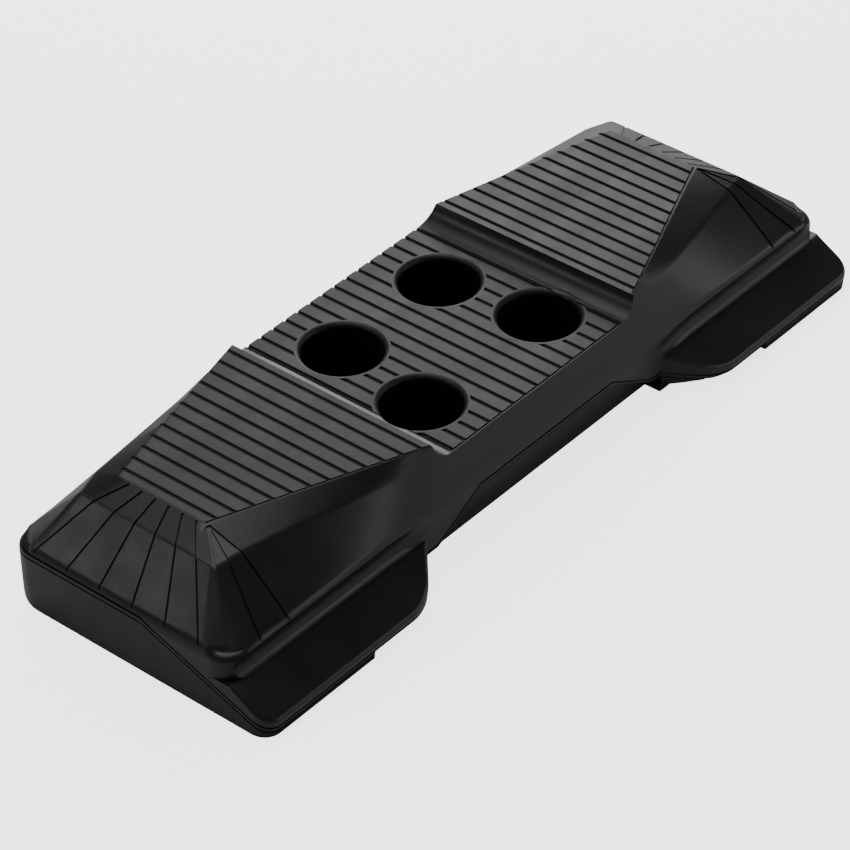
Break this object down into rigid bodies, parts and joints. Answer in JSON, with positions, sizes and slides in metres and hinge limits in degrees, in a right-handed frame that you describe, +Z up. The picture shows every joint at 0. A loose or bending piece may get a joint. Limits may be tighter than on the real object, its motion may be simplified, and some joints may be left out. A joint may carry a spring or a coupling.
{
  "type": "bolt-on rubber track pad",
  "caption": "Long black rubber ground pad on a steel core, with ribbed raised ends, a low ribbed middle with deep bolt wells, and a front overlap lip with a central notch.",
  "frame": {"origin": "on the chain seat, the underside of the steel core plate, midway along the pad and midway across its middle panel", "axes": "+X along the pad, +Y towards the rear edge, away from the overlap lip, +Z up towards the tread"},
  "size_m": [0.5, 0.1805, 0.0715],
  "materials": {
    "tread_rubber": "moulded black rubber, matte on the ribbed panels and satin on the sloping faces",
    "base_rubber": "moulded black rubber, satin",
    "seat_steel": "thin black primer, worn where the links bear",
    "boss_steel": "faced steel, blackened",
    "core_steel": "blasted steel with bonding primer"
  },
  "bodies": {
    "root": {"tread_rubber": "tread_rubber", "base_rubber": "base_rubber", "core_plate": "seat_steel", "centre_rib": "core_steel", "wing_rib_front_left": "core_steel", "wing_rib_front_right": "core_steel", "wing_rib_rear_left": "core_steel", "wing_rib_rear_right": "core_steel", "bolt_boss_rear_left": "boss_steel", "bolt_boss_rear_right": "boss_steel", "bolt_boss_front_left": "boss_steel", "bolt_boss_front_right": "boss_steel"}
  },
  "joints": []
}
